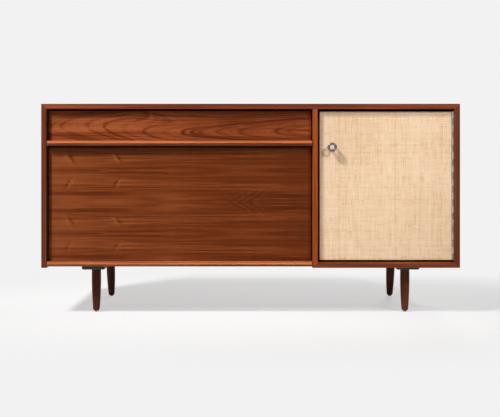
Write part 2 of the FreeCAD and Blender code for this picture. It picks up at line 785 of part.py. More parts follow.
case_leaf_screws, case_leaf_holes = hinge_leaf("hinge_case_leaf", 1, 0, "+x")
door_leaf_screws, door_leaf_holes = hinge_leaf("hinge_door_leaf", -1, 1, "-x")
node("hinge_case_screws", group("hinge_case_screws", case_leaf_screws))
node("hinge_door_screws", group("hinge_door_screws", door_leaf_screws))

# Magnetic catch on the divider and its strike on the door.
catch_level = door_high - sz.catch_drop
catch_front = door_back + sz.strike + sz.catch_gap
catch_right = divider_right + sz.catch_width
catch_low = catch_level - sz.catch_height / 2
catch_high = catch_level + sz.catch_height / 2
catch_block = box(
    "catch_block",
    (divider_right, catch_front, catch_low),
    (catch_right, catch_front + sz.catch_depth, catch_high),
)
catch_levels = (catch_level - sz.catch_screw_step, catch_level + sz.catch_screw_step)
catch_spots = [(catch_right, catch_front + sz.catch_depth / 2, level) for level in catch_levels]
catch_screws, catch_holes = fastened("catch_screw", wood_screw, "-x", catch_spots)
node("catch_magnet", cut("catch_magnet", catch_block, catch_holes))
node("catch_screws", group("catch_screws", catch_screws))
strike_left = door_left + sz.strike_inset
strike_plate = box(
    "strike_plate",
    (strike_left, door_back, catch_low),
    (strike_left + sz.catch_width, door_back + sz.strike, catch_high),
)
strike_spots = [
    (strike_left + sz.catch_width / 2, door_back + sz.strike, level) for level in catch_levels
]
strike_screws, strike_holes = fastened("strike_screw", small_screw, "-y", strike_spots)
node("catch_strike", cut("catch_strike", strike_plate, strike_holes))
node("strike_screws", group("strike_screws", strike_screws))
node("door_core", cut("door_core", door_board, pull_holes, strike_holes, door_leaf_holes))

# Shelf on four pins, with a row of holes for each pin.
shelf_front = door_back + sz.shelf_setback
shelf_rear = back_inside - sz.shelf_gap
shelf_level_share = 0.47
shelf_low = floor_top + (ceiling - floor_top) * shelf_level_share
shelf_left = divider_right + sz.shelf_gap
shelf_right = inner_right - sz.shelf_gap
shelf = padded("shelf_board", "XZ_Plane", [
    (shelf_left, shelf_low),
    (shelf_right, shelf_low),
    (shelf_right, shelf_low + sz.board),
    (shelf_left, shelf_low + sz.board),
], shelf_rear - shelf_front, (NOTHING, shelf_front, NOTHING))
node("shelf", ease_front(shelf, "X"))
pin_level = shelf_low - sz.shelf_pin_radius - sz.pin_fit
pin_runs = (shelf_front + sz.shelf_pin_inset, shelf_rear - sz.shelf_pin_inset)
shelf_pins = []
shelf_holes = {"-x": [], "+x": []}
for direction, wall, way in (("-x", divider_right, 1), ("+x", inner_right, -1)):
    for run_count, run in enumerate(pin_runs):
        shelf_pins.append(
            rod(
                f"shelf_pin_{run_count}_{way}",
                (wall + sz.shelf_pin_reach * way, run, pin_level),
                direction,
                sz.shelf_pin_radius,
                sz.shelf_pin_reach + sz.shelf_hole_depth - sz.pin_fit,
            )
        )
        for count in range(SHELF_HOLES):
            level = pin_level + sz.shelf_hole_step * (count - SHELF_HOLES // 2)
            shelf_holes[direction].append(
                rod(
                    f"shelf_hole_{run_count}_{way}_{count}",
                    (wall + sz.overrun * way, run, level),
                    direction,
                    sz.shelf_pin_radius + sz.pin_fit,
                    sz.overrun + sz.shelf_hole_depth,
                )
            )
node("shelf_pins", group("shelf_pins", shelf_pins))
node("case_divider", cut(
    "case_divider", divider, rebate_cut, back_holes, rail, catch_holes,
    group("divider_shelf_holes", shelf_holes["-x"]), *runner_holes["right"],
))
node("case_right_side", cut(
    "case_right_side", right_side, rebate_cut, back_holes, case_leaf_holes,
    group("side_shelf_holes", shelf_holes["+x"]),
))

# Legs on plates under the case; the rear pair leans back.
leg_across = half_width - sz.leg_side_inset
leg_top = underside - sz.plate
leg_bolts = []
leg_glides = []
plate_screws = []
bottom_holes = {"left": [], "right": []}
above_leg = box(
    "above_leg", (-half_width, front, leg_top), (half_width, rear, leg_top + sz.leg_top_radius * 2)
)
below_floor = box(
    "below_floor", (-half_width, front, -sz.leg_top_radius * 2), (half_width, rear, NOTHING)
)


def set_on_axis(item, end, across, run, drop):
    """Sets a piece on a leg's axis, a distance below the top of the leg, leaning back with a rear leg."""
    if end == "front":
        place(item, (across, run, leg_top - drop))
    else:
        item.Placement = FreeCAD.Placement(FreeCAD.Vector(), REAR_LEAN)
        item.setExpression("Placement.Rotation.Angle", "Sizes.leg_rake")
        place(item, (across, run + drop * RAKE_SINE, leg_top - drop * RAKE_COSINE))


def leg(end, side):
    """A leg with its plate, bolt, glide and screws."""
    name = f"{end}_{side}"
    way = -1 if side == "left" else 1
    across = leg_across * way
    if end == "front":
        run = front + sz.leg_end_inset
        length = leg_top
    else:
        run = rear - sz.leg_end_inset
        length = leg_top * RAKE_STRETCH
    tip = sz.glide - length
    shape = turned(f"leg_{name}_turning", [
        (NOTHING, sz.leg_trim),
        (sz.leg_top_radius, sz.leg_trim, sz.leg_side_bow, 1),
        (sz.leg_ankle_radius, tip + sz.leg_tip, sz.leg_tip_bow, 1),
        (sz.leg_tip_radius, tip),
        (NOTHING, tip),
    ])
    set_on_axis(shape, end, across, run, NOTHING)
    bolt = doc.addObject("Part::Cylinder", f"bolt_{name}")
    bind(bolt, "Radius", sz.bolt_radius)
    bind(bolt, "Height", sz.bolt_down + sz.bolt_up)
    set_on_axis(bolt, end, across, run, sz.bolt_down)
    leg_bolts.append(bolt)
    bolt_hole = doc.addObject("Part::Cylinder", f"bolt_hole_{name}")
    bind(bolt_hole, "Radius", sz.bolt_radius + sz.screw_fit)
    bind(bolt_hole, "Height", sz.bolt_down + sz.bolt_up + sz.screw_fit * 2)
    set_on_axis(bolt_hole, end, across, run, sz.bolt_down + sz.screw_fit)
    node(f"leg_{name}", cut(f"leg_{name}", shape, above_leg, bolt_hole))
    glide = doc.addObject("Part::Cone", f"glide_{name}")
    bind(glide, "Radius1", sz.glide_foot_radius)
    bind(glide, "Radius2", sz.glide_top_radius)
    bind(glide, "Height", sz.glide + sz.overrun)
    set_on_axis(glide, end, across, run, length + sz.overrun)
    leg_glides.append(cut(f"glide_{name}", glide, below_floor))

    plate_across = (leg_across + sz.plate_outset) * way
    left, right = plate_across - sz.plate_width / 2, plate_across + sz.plate_width / 2
    near, far = run - sz.plate_depth / 2, run + sz.plate_depth / 2
    plate = padded(
        f"plate_{name}", "XY_Plane", [(left, near), (right, near), (right, far), (left, far)],
        sz.plate, (NOTHING, NOTHING, leg_top),
    )
    dress(plate, "Chamfer", "Size", sz.plate_chamfer, lambda edge: lies_at(edge, "Z", 0))
    spots = [
        (plate_across + sz.plate_screw_side * side_way, run + sz.plate_screw_end * end_way, leg_top)
        for side_way in (-1, 1)
        for end_way in (-1, 1)
    ]
    screws, holes = fastened(f"plate_screw_{name}", wood_screw, "+z", spots)
    plate_screws.extend(screws)
    node(f"leg_plate_{name}", cut(f"leg_plate_{name}", plate, bolt_hole, holes))
    bottom_holes[side].extend((bolt_hole, holes))


for leg_end in ("front", "rear"):
    for leg_side in ("left", "right"):
        leg(leg_end, leg_side)
node("leg_bolts", group("leg_bolts", leg_bolts))
node("leg_glides", group("leg_glides", leg_glides))
node("leg_plate_screws", group("leg_plate_screws", plate_screws))
node("case_left_bottom", cut(
    "case_left_bottom", left_bottom, rebate_cut, back_holes, *bottom_holes["left"]
))
node("case_right_bottom", cut(
    "case_right_bottom", right_bottom, rebate_cut, back_holes, *bottom_holes["right"]
))

doc.recompute()
for item in doc.Objects:
    if "Invalid" in item.State or "Error" in item.State:
        raise RuntimeError(f"{item.Name} did not build: {item.State}")
os.makedirs("parts", exist_ok=True)
for name, item in nodes.items():
    if item.Shape.isNull() or not item.Shape.isValid() or not item.Shape.Solids:
        raise RuntimeError(f"{name} has no valid solid")
    item.Shape.exportStep(f"parts/{name}.step")
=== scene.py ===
import functools
import math
import operator

import bpy
import numpy as np
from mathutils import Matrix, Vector


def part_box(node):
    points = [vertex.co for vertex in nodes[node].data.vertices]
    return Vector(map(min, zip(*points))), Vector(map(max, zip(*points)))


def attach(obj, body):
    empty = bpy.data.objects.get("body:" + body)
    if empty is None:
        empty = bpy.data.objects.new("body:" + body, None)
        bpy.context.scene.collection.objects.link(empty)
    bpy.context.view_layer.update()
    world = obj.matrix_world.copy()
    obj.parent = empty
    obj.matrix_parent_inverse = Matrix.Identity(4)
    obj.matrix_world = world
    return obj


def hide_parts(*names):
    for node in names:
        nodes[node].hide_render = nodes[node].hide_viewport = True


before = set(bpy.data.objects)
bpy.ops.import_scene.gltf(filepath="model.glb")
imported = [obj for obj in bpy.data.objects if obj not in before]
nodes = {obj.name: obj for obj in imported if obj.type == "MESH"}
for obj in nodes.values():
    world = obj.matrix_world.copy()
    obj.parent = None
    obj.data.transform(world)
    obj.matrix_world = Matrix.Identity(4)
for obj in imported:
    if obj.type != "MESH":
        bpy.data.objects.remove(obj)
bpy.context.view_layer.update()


def paint(red, green, blue):
    """A colour as it is seen (0 to 255) in the linear values that shaders take."""
    seen = np.array((red, green, blue)) / 255.0
    linear = np.where(seen <= 0.04045, seen / 12.92, ((seen + 0.055) / 1.055) ** 2.4)
    return (*linear.tolist(), 1.0)


class Value:
    """A number that varies over a finish, with the usual arithmetic."""

    def __init__(self, finish, socket):
        self.finish = finish
        self.socket = socket

    def __add__(self, other):
        return self.finish.maths("ADD", self, other)

    def __sub__(self, other):
        return self.finish.maths("SUBTRACT", self, other)

    def __rsub__(self, other):
        return self.finish.maths("SUBTRACT", other, self)

    def __mul__(self, other):
        return self.finish.maths("MULTIPLY", self, other)

    def __pow__(self, power):
        return self.finish.maths("POWER", self, power)


def total(values):
    """Several values added up."""
    return functools.reduce(operator.add, values)


class Finish:
    """A material under construction: short calls for the nodes that every finish of the credenza uses."""

    def __init__(self, name):
        self.material = bpy.data.materials.new(name)
        self.material.use_nodes = True
        self.tree = self.material.node_tree
        self.shader = self.tree.nodes["Principled BSDF"]
        place = self.node("ShaderNodeTexCoord").outputs["Object"]
        axes = self.node("ShaderNodeSeparateXYZ", place).outputs
        self.x, self.y, self.z = (Value(self, axis) for axis in axes)

    def node(self, kind, *values, **settings):
        """A node with its settings, and its first inputs joined or set."""
        made = self.tree.nodes.new(kind)
        for key, value in settings.items():
            setattr(made, key, value)
        for socket, value in zip(made.inputs, values):
            self.put(socket, value)
        return made

    def put(self, socket, value):
        """An input joined to what a node gives, or set to a number or a colour."""
        if isinstance(value, Value):
            value = value.socket
        if isinstance(value, bpy.types.NodeSocket):
            self.tree.links.new(value, socket)
        else:
            socket.default_value = value

    def maths(self, operation, *values):
        return Value(self, self.node("ShaderNodeMath", *values, operation=operation).outputs[0])

    def spread(self, value, low, high, new_low=0.0, new_high=1.0):
        """A value moved from one range to another, held inside it, with soft ends."""
        made = self.node("ShaderNodeMapRange", value, low, high, new_low, new_high,
                         interpolation_type="SMOOTHSTEP")
        return Value(self, made.outputs[0])

    def bell(self, square):
        """A soft hump: 1 where a squared distance is 0, falling to 0 around it."""
        return self.maths("EXPONENT", square * -1.0)

    def point(self, x, y, z):
        return self.node("ShaderNodeCombineXYZ", x, y, z).outputs[0]

    def noise(self, point, scale=1.0, detail=2.0, roughness=0.5):
        """Soft clouds between 0 and 1."""
        made = self.node("ShaderNodeTexNoise", noise_dimensions="3D")
        for name, value in (("Vector", point), ("Scale", scale), ("Detail", detail), ("Roughness", roughness)):
            self.put(made.inputs[name], value)
        return Value(self, made.outputs["Fac"])

    def stray(self, reach, point, detail=2.0):
        """Soft clouds on both sides of 0, over a whole range of one reach."""
        return (self.noise(point, detail=detail) - 0.5) * reach

    def ramp(self, value, *stops):
        """A colour for each of several values, smooth between them."""
        made = self.node("ShaderNodeValToRGB", value)
        steps = made.color_ramp.elements
        while len(steps) < len(stops):
            steps.new(0.5)
        for step, (at, colour) in zip(steps, stops):
            step.position = at
            step.color = colour
        return made.outputs["Color"]

    def blend(self, share, first, second):
        """One colour passing into a second by a share from 0 to 1."""
        made = self.node("ShaderNodeMix", data_type="RGBA")
        for place, value in ((0, share), (6, first), (7, second)):
            self.put(made.inputs[place], value)
        return made.outputs[2]

    def edges(self, radius):
        """How near a point is to an outer edge, from 0 in the middle of a face to 1 on the edge."""
        soft = self.node("ShaderNodeBevel", radius, samples=4).outputs[0]
        plain = self.node("ShaderNodeNewGeometry").outputs["Normal"]
        facing = self.node("ShaderNodeVectorMath", soft, plain, operation="DOT_PRODUCT").outputs["Value"]
        return self.spread(1.0 - Value(self, facing), 0.02, 0.25)

    def bump(self, height, strength, distance):
        made = self.node("ShaderNodeBump")
        for name, value in (("Height", height), ("Strength", strength), ("Distance", distance)):
            self.put(made.inputs[name], value)
        self.put(self.shader.inputs["Normal"], made.outputs["Normal"])

    def surface(self, colour, roughness, **others):
        self.put(self.shader.inputs["Base Color"], colour)
        self.put(self.shader.inputs["Roughness"], roughness)
        for name, value in others.items():
            self.put(self.shader.inputs[name.replace("_", " ")], value)
        return self.material


def along_grain(finish, direction):
    """The three coordinates of a board as (along the grain, across it, through it)."""
    order = {"x": (finish.x, finish.z, finish.y), "y": (finish.y, finish.x, finish.z),
             "z": (finish.z, finish.x, finish.y)}
    return order[direction]


def grain(finish, board, stretch, fineness, seed, detail=3.0):
    """Streaks of wood: clouds drawn out along the grain and squeezed across it."""
    run, across, through = board
    spot = finish.point(run * stretch, across * fineness, through * fineness + seed)
    return finish.noise(spot, detail=detail, roughness=0.55)


def walnut(name, direction, dark, middle, light, seed, figure=None, contrast=1.0, gloss=0.36, bands=24.0,
           streaks=150.0, shortness=1.0, wear_and_highlight_colour=None):
    """Oiled walnut: broad colour bands, fine streaks, short dark pores, and paler edges, partly wear and
    partly a painted highlight.
    """
    finish = Finish(name)
    run, across, through = along_grain(finish, direction)
    if figure:
        across, marking = figure(finish, run, across)
    waver = finish.stray(0.010, finish.point(run * 1.6, across * 5.0, through + seed), detail=3.0)
    board = (run, across + waver, through)

    band = grain(finish, board, 0.9 * shortness, bands, seed)
    streak = grain(finish, board, 3.2 * shortness, streaks, seed + 3.7, detail=4.0)
    fibre = grain(finish, board, 18.0, 700.0, seed + 9.1, detail=2.0)
    pore = finish.spread(grain(finish, board, 34.0, 950.0, seed + 5.3, detail=2.0), 0.60, 0.74)
    tone = band * 0.42 + (streak * 0.46 + fibre * 0.12)
    if figure:
        tone = tone + marking
    reach = 0.20 / contrast
    tone = finish.spread(tone, 0.5 - reach, 0.5 + reach)

    colour = finish.ramp(tone, (0.0, dark), (0.5, middle), (1.0, light))
    colour = finish.blend(pore * 0.55, colour, dark)
    # Paler along the outer edges: partly wear, partly a painted highlight where the eased edges catch the
    # light.
    wear_and_highlight = finish.edges(0.0025) * (streak * 0.8 + 0.1)
    colour = finish.blend(wear_and_highlight * 0.55, colour, wear_and_highlight_colour or light)
    rough = streak * 0.16 + (pore * 0.15 + (gloss - 0.08))
    finish.bump((streak * 0.5 + fibre * 0.5) - pore * 0.9, strength=0.22, distance=0.0004)
    return finish.surface(colour, rough, Specular_IOR_Level=0.10)


def cathedral(finish, run, level):
    """Arches of the top drawer's flat-cut veneer: parabolas nested along the board with their tips to the
    left, longer and flatter towards the right. A few are dark lines that keep their thickness along the
    limbs, and the rest are faint."""
    # Where each dark arch has its tip, in metres along the board, and how dark it is.
    tips = ((-0.770, 0.16), (-0.735, 0.14), (-0.700, 0.14), (-0.600, 0.15), (-0.535, 0.26),
            (-0.464, 0.12), (-0.381, 0.20), (-0.309, 0.08), (-0.245, 0.28), (-0.212, 0.26),
            (-0.185, 0.16), (-0.130, 0.18), (-0.050, 0.14), (0.090, 0.17), (0.140, 0.12))
    axis = 0.6885 - finish.spread(run, -0.55, -0.30, 0.004, 0.021)
    off = (level - axis) + finish.stray(0.030, finish.point(run * 1.9, 4.0, 1.0), detail=1.0)
    bend = finish.spread(run, -0.45, -0.10, 62.0, 210.0)
    bow = off * off * bend
    slope = off * bend * 2.0
    steep = slope * slope + 1.0
    keen = steep ** -0.3 * 150.0
    weak = steep ** -0.08

    rise = finish.stray(0.07, finish.point(run * 3.4, level * 16.0, 7.7), detail=1.0)
    shake = finish.stray(0.018, finish.point(run * 9.0, level * 60.0, 2.2))
    rings = (run - bow) + (rise + shake)
    lines = []
    for tip, depth in tips:
        near = (rings - tip) * keen
        lines.append(finish.bell(near * near) * -depth)
    faint = finish.spread(finish.maths("FRACT", rings * 38.0), 0.0, 0.9, 0.0, -0.035)
    patchy = finish.noise(finish.point(run * 6.0, level * 14.0, 5.0))
    strength = finish.spread(patchy, 0.32, 0.62, 0.52, 0.88)
    broad = finish.stray(0.09, finish.point(rings * 7.0, 5.0, 2.0))
    # Lighter towards the left end of the board and darker towards the right.
    fade = finish.spread(run, -0.30, 0.05, 0.013, -0.060)
    arches = strength * (total(lines) * weak + faint) + (broad + 0.066) + fade
    return level - bow * 0.10, arches


def book_match(finish, run, level):
    """Four leaves of straight-cut veneer, each the mirror of the next. Small ragged strokes, a dark one
    beside a light one, come back in every leaf. Low chevrons, lines of equal run less height from the middle
    seam, open to the right."""
    seam, leaf = 0.4107, 0.1155
    # Each stroke's place along the board, its height in the leaf, and half its width and height.
    strokes = ((-0.668, 0.071, 0.0070, 0.016), (-0.493, 0.070, 0.0065, 0.013))
    height = level - seam
    mirrored = finish.maths("PINGPONG", height, leaf)
    ragged = finish.stray(2.6, finish.point(run * 80.0, level * 80.0, 8.3))
    marks = []
    for place, rise, wide, tall in strokes:
        upward = (mirrored - rise) * (1.0 / tall)
        slant = ((run - place) * (1.0 / wide) + ragged) - upward * 1.3
        beside = slant - 1.7
        light = finish.bell(upward * upward + slant * slant)
        shade = finish.bell(beside * beside + upward * upward)
        marks.append(light - shade)
    turned = finish.maths("GREATER_THAN", finish.maths("FRACT", height * (0.5 / leaf)), 0.5)
    side = finish.spread(turned, 0.0, 1.0, -0.8, 1.0)
    lower = finish.spread(level, 0.20, 0.60, 0.55, 1.0)
    mark = total(marks) * side * lower

    wander = finish.stray(0.050, finish.point(run * 22.0, mirrored * 60.0, 6.1))
    opening = (run - mirrored * 1.5) + wander
    window = (finish.spread(finish.maths("ABSOLUTE", opening + 0.030), 0.020, 0.085, 1.0, 0.0)
              * finish.spread(finish.maths("ABSOLUTE", height), 0.015, 0.060, 1.0, 0.0))
    chevron = finish.maths("SINE", opening * 190.0) * window
    swell = finish.stray(0.16, finish.point(run * 1.1, mirrored * 6.0, 3.3))
    # Lighter towards the left end of the board and darker towards the right.
    fade = (run + 0.09) * -0.18
    bent = mirrored + (mark * 0.0025 + window * 0.004)
    return bent, swell + (mark * 0.18 + chevron * 0.045) + fade


def pale_wood(name, direction, seed):
    """Sealed hardwood of the drawer boxes, with light streaks and small flecks."""
    finish = Finish(name)
    board = along_grain(finish, direction)
    band = grain(finish, board, 1.2, 16.0, seed)
    streak = grain(finish, board, 5.0, 140.0, seed + 4.0)
    fleck = finish.spread(grain(finish, board, 30.0, 420.0, seed + 8.0), 0.62, 0.78)
    tone = finish.spread(band * 0.5 + streak * 0.5, 0.32, 0.68)
    colour = finish.ramp(tone, (0.0, paint(176, 132, 86)), (0.5, paint(201, 160, 111)),
                         (1.0, paint(221, 186, 140)))
    colour = finish.blend(fleck * 0.4, colour, paint(150, 104, 64))
    colour = finish.blend(finish.edges(0.002) * 0.3, colour, paint(226, 197, 154))
    finish.bump(streak + fleck, strength=0.15, distance=0.0003)
    return finish.surface(colour, streak * 0.18 + 0.42, IOR=1.45)


def metal(name, low, high, rough, seed, direction="z", fineness=1560.0):
    """Metal with fine drawn lines along one direction, clouded gloss and brighter edges."""
    finish = Finish(name)
    run, across, through = along_grain(finish, direction)
    drawn = finish.noise(finish.point(run * 12.0, across * fineness, through * fineness + seed), detail=3.0)
    cloud = finish.noise(finish.point(finish.x, finish.y, finish.z + seed), scale=55.0, detail=3.0)
    tone = finish.spread(drawn * 0.5 + cloud * 0.5, 0.35, 0.65)
    colour = finish.ramp(tone, (0.0, low), (1.0, high))
    colour = finish.blend(finish.edges(0.0012) * 0.5, colour, high)
    finish.bump(drawn, strength=0.06, distance=0.0001)
    return finish.surface(colour, (cloud - 0.5) * (rough * 0.9) + rough, Metallic=1.0)


def painted(name, low, high, rubbed):
    """Satin paint, faintly textured, clouded, and rubbed along the edges."""
    finish = Finish(name)
    spot = finish.point(finish.x, finish.y, finish.z)
    skin = finish.noise(spot, scale=900.0)
    cloud = finish.noise(spot, scale=40.0, detail=3.0)
    colour = finish.ramp(finish.spread(cloud, 0.3, 0.7), (0.0, low), (1.0, high))
    rub = finish.edges(0.0015) * finish.spread(cloud, 0.35, 0.6)
    colour = finish.blend(rub * 0.5, colour, rubbed)
    finish.bump(skin, strength=0.25, distance=0.0002)
    return finish.surface(colour, cloud * 0.2 + 0.38)


def raffia_fibre(name):
    """Raffia ribbons: every ribbon with its own straw tone, split by fine fibres along its length."""
    finish = Finish(name)
    ribbon, upright = (Value(finish, finish.node("ShaderNodeAttribute", attribute_name=kept).outputs["Fac"])
                       for kept in ("ribbon_tone", "ribbon_upright"))
    x, z = finish.x, finish.z
    fine, slow = 1900.0, 55.0
    up_fibre = finish.noise(finish.point(x * fine, 0.0, z * slow))
    level_fibre = finish.noise(finish.point(x * slow, 3.0, z * fine))
    fibre = up_fibre * upright + level_fibre * (1.0 - upright)
    cloud = finish.noise(finish.point(x * 9.0, 0.0, z * 7.0), detail=3.0)
    tone = finish.spread(ribbon * 0.62 + (fibre * 0.22 + cloud * 0.16), 0.22, 0.78)
    colour = finish.ramp(tone, (0.0, paint(209, 161, 115)), (0.45, paint(234, 200, 163)),
                         (1.0, paint(248, 223, 195)))
    finish.bump(fibre, strength=0.35, distance=0.0003)
    return finish.surface(colour, fibre * 0.2 + 0.52, Sheen_Weight=0.12, Sheen_Roughness=0.5,
                          Specular_IOR_Level=0.3)


# Colours of the walnut as it looks on each part of the credenza: dark, middle and light.
top_walnut = walnut("top_walnut", "x", paint(96, 43, 20), paint(136, 67, 36), paint(166, 91, 54),
                    seed=11.0, gloss=0.50)
bottom_walnut = walnut("bottom_walnut", "x", paint(88, 39, 20), paint(124, 61, 35), paint(158, 87, 54),
                       seed=17.0, gloss=0.48)
side_walnut = walnut("side_walnut", "z", paint(80, 37, 18), paint(110, 54, 31), paint(144, 80, 50),
                     seed=23.0, gloss=0.50)
divider_walnut = walnut("divider_walnut", "z", paint(112, 50, 18), paint(156, 73, 30), paint(188, 98, 48),
                        seed=31.0)
top_front_walnut = walnut("top_front_walnut", "x", paint(84, 35, 12), paint(134, 64, 29), paint(174, 94, 54),
                          seed=41.0, figure=cathedral)
deep_front_walnut = walnut("deep_front_walnut", "x", paint(62, 23, 4), paint(108, 48, 15), paint(158, 84, 44),
                           seed=58.0, figure=book_match, contrast=0.68, bands=40.0, streaks=170.0,
                           shortness=1.5)
# The lips are lighter walnut than the other parts: a painted highlight on their rounded noses, with a paler
# orange painted highlight along their edges.
lip_walnut = walnut("lip_walnut", "x", paint(128, 65, 33), paint(172, 95, 52), paint(204, 126, 78),
                    seed=61.0, gloss=0.30, wear_and_highlight_colour=paint(206, 132, 90))
leg_walnut = walnut("leg_walnut", "z", paint(62, 28, 15), paint(96, 47, 26), paint(128, 67, 40),
                    seed=71.0, gloss=0.30)
door_back_walnut = walnut("door_back_walnut", "z", paint(88, 39, 20), paint(124, 61, 35), paint(158, 87, 54),
                          seed=83.0, gloss=0.48)
ply_level = walnut("ply_level", "x", paint(114, 60, 33), paint(148, 83, 48), paint(176, 108, 68),
                   seed=97.0, gloss=0.5, bands=14.0, streaks=90.0)

# The other finishes. Metals and paints have two tones that cloud into each other.
box_wood_level = pale_wood("box_wood_level", "x", seed=5.0)
box_wood_deep = pale_wood("box_wood_deep", "y", seed=9.0)
chrome = metal("pull_chrome", paint(94, 94, 103), paint(120, 120, 129), rough=0.09, seed=3.0, fineness=360.0)
hinge_steel = metal("hinge_steel", paint(164, 178, 186), paint(202, 215, 222), rough=0.36, seed=7.0)
# Painted shade: the case leaf is the same steel as the door leaf, darkened so that its knuckles show as dark
# dashes between the bright ones.
hinge_steel_painted_shade = metal("hinge_steel_painted_shade", paint(128, 138, 142), paint(158, 168, 172), rough=0.42, seed=11.0)
screw_steel = metal("screw_steel", paint(140, 137, 130), paint(178, 174, 166), rough=0.32, seed=13.0,
                    direction="x")
glide_steel = metal("glide_steel", paint(112, 112, 112), paint(156, 156, 156), rough=0.30, seed=17.0)
pin_brass = metal("pin_brass", paint(176, 138, 72), paint(214, 178, 108), rough=0.26, seed=29.0, direction="x")
catch_brown = painted("catch_brown", paint(38, 30, 25), paint(58, 48, 40), rubbed=paint(104, 92, 80))
plate_black = painted("plate_black", paint(26, 23, 23), paint(42, 38, 38), rubbed=paint(88, 84, 82))
raffia_straw = raffia_fibre("raffia_straw")

# Which finish each piece of the frame carries.
corners = [f"{end}_{side}" for end in ("front", "rear") for side in ("left", "right")]
drawer_sides = [(drawer, side) for drawer in ("top", "deep") for side in ("left", "right")]
drawer_ends = [(drawer, end) for drawer in ("top", "deep") for end in ("front", "back")]
finishes = {
    top_walnut: ["case_top"],
    bottom_walnut: ["case_left_bottom", "case_right_bottom", "shelf"],
    side_walnut: ["case_left_side", "case_right_side"],
    divider_walnut: ["case_divider"],
    top_front_walnut: ["top_drawer_front"],
    deep_front_walnut: ["deep_drawer_front"],
    lip_walnut: ["top_drawer_lip", "deep_drawer_lip"],
    leg_walnut: [f"leg_{corner}" for corner in corners],
    plate_black: [f"leg_plate_{corner}" for corner in corners],
    door_back_walnut: ["door_core"],
    box_wood_level: ["drawer_rail", *(f"{drawer}_drawer_box_{end}" for drawer, end in drawer_ends)],
    box_wood_deep: [*(f"{drawer}_drawer_{side}_side" for drawer, side in drawer_sides),
                    *(f"{drawer}_runner_{side}" for drawer, side in drawer_sides)],
    ply_level: ["back_panel", "top_drawer_bottom", "deep_drawer_bottom"],
    chrome: ["door_pull_ring"],
    hinge_steel: ["hinge_door_leaf", "hinge_pin", "catch_strike"],
    hinge_steel_painted_shade: ["hinge_case_leaf"],
    glide_steel: ["leg_glides"],
    catch_brown: ["catch_magnet"],
    pin_brass: ["shelf_pins"],
    raffia_straw: ["door_raffia"],
    screw_steel: ["leg_bolts", *(name for name in nodes if name.endswith("_screws"))],
}
for finish_material, names in finishes.items():
    for name in names:
        nodes[name].data.materials.clear()
        nodes[name].data.materials.append(finish_material)


def raffia_cloth():
    """The cloth on the door: a flat sheet of two grid parameters whose height is the product of two sine
    waves, one for the upright ribbons and one for the level ribbons, so that they pass over and under each
    other. The height of each ribbon and the space between ribbons vary a little, and the outer row of points
    turns back to the board."""
    columns, rows, steps = 288, 324, 2
    mean_height, wave_height = 0.00048, 0.00022
    least_height, most_height = 0.00018, 0.00090
    uneven_space = 0.12
    low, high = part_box("door_raffia")
    width, length = high.x - low.x, high.z - low.z
    chance = np.random.default_rng(4056)
    upright_count, level_count = columns // steps, rows // steps
    across, up = np.meshgrid(np.arange(columns + 1) / steps, np.arange(rows + 1) / steps, indexing="xy")
    thread_across = np.clip(across.astype(int), 0, upright_count - 1)
    thread_up = np.clip(up.astype(int), 0, level_count - 1)
    row_number = np.arange(rows + 1)[:, None] + np.zeros_like(thread_across)
    column_number = np.arange(columns + 1)[None, :] + np.zeros_like(thread_across)

    def slow(count, points, spans):
        """For each ribbon, a value that wanders slowly along the ribbon's length."""
        knots = chance.normal(0.0, 1.0, (count, spans + 1))
        where = np.linspace(0, spans, points)
        first = np.clip(where.astype(int), 0, spans - 1)
        part = where - first
        part = part * part * (3 - 2 * part)
        return knots[:, first] * (1 - part) + knots[:, first + 1] * part

    def uneven(count):
        """Places from 0 to 1 with steps that vary a little."""
        places = np.cumsum(np.concatenate(([0.0], 1 + uneven_space * chance.normal(0.0, 1.0, count))))
        return places / places[-1]

    upright_wander = slow(upright_count, rows + 1, spans=18)
    level_wander = slow(level_count, columns + 1, spans=22)
    upright_tone = 0.06 * chance.normal(0.0, 1.0, (upright_count, 1)) + 0.10 * upright_wander
    level_tone = 0.04 * chance.normal(0.0, 1.0, (level_count, 1)) + 0.08 * level_wander
    upright_here = upright_tone[thread_across, row_number]
    level_here = level_tone[thread_up, column_number]
    weave = np.sin(np.pi * across) * np.sin(np.pi * up)
    on_top = 0.5 + 0.5 * np.sign(weave) * (np.abs(weave) > 0.05)
    tone = 0.5 + on_top * upright_here + (1 - on_top) * level_here

    swell = 1.0 + 0.35 * np.where(on_top > 0.5, upright_wander[thread_across, row_number],
                                  level_wander[thread_up, column_number])
    proud = mean_height + wave_height * weave * np.clip(swell, 0.3, 1.7)
    proud = np.clip(proud, least_height, most_height)
    rim = (column_number == 0) | (column_number == columns) | (row_number == 0) | (row_number == rows)
    proud = np.where(rim, 0.0, proud)
    places_x = low.x + width * uneven(columns)
    places_z = low.z + length * uneven(rows)
    points = np.stack((places_x[column_number], high.y - proud, places_z[row_number]), axis=-1)
    number = np.arange((rows + 1) * (columns + 1)).reshape(rows + 1, columns + 1)
    faces = np.stack((number[:-1, :-1], number[:-1, 1:], number[1:, 1:], number[1:, :-1]), axis=-1)

    mesh = bpy.data.meshes.new("door_raffia_cloth")
    mesh.from_pydata(points.reshape(-1, 3).tolist(), [], faces.reshape(-1, 4).tolist())
    for name, values in (("ribbon_tone", np.clip(tone, 0.0, 1.0)), ("ribbon_upright", on_top)):
        attribute = mesh.attributes.new(name, "FLOAT", "POINT")
        attribute.data.foreach_set("value", values.reshape(-1).astype(np.float32))
    mesh.shade_smooth()
    mesh.materials.append(raffia_straw)
    cloth = bpy.data.objects.new("door_raffia_cloth", mesh)
    bpy.context.scene.collection.objects.link(cloth)
    return cloth, (width, length)


cloth, cloth_flat = raffia_cloth()
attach(cloth, "door")
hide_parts("door_raffia")

# Studio: a pale floor that keeps the shadow, and a pale surround.
pale = paint(242, 242, 242)
warm_fill = (1.0, 0.80, 0.60, 1.0)


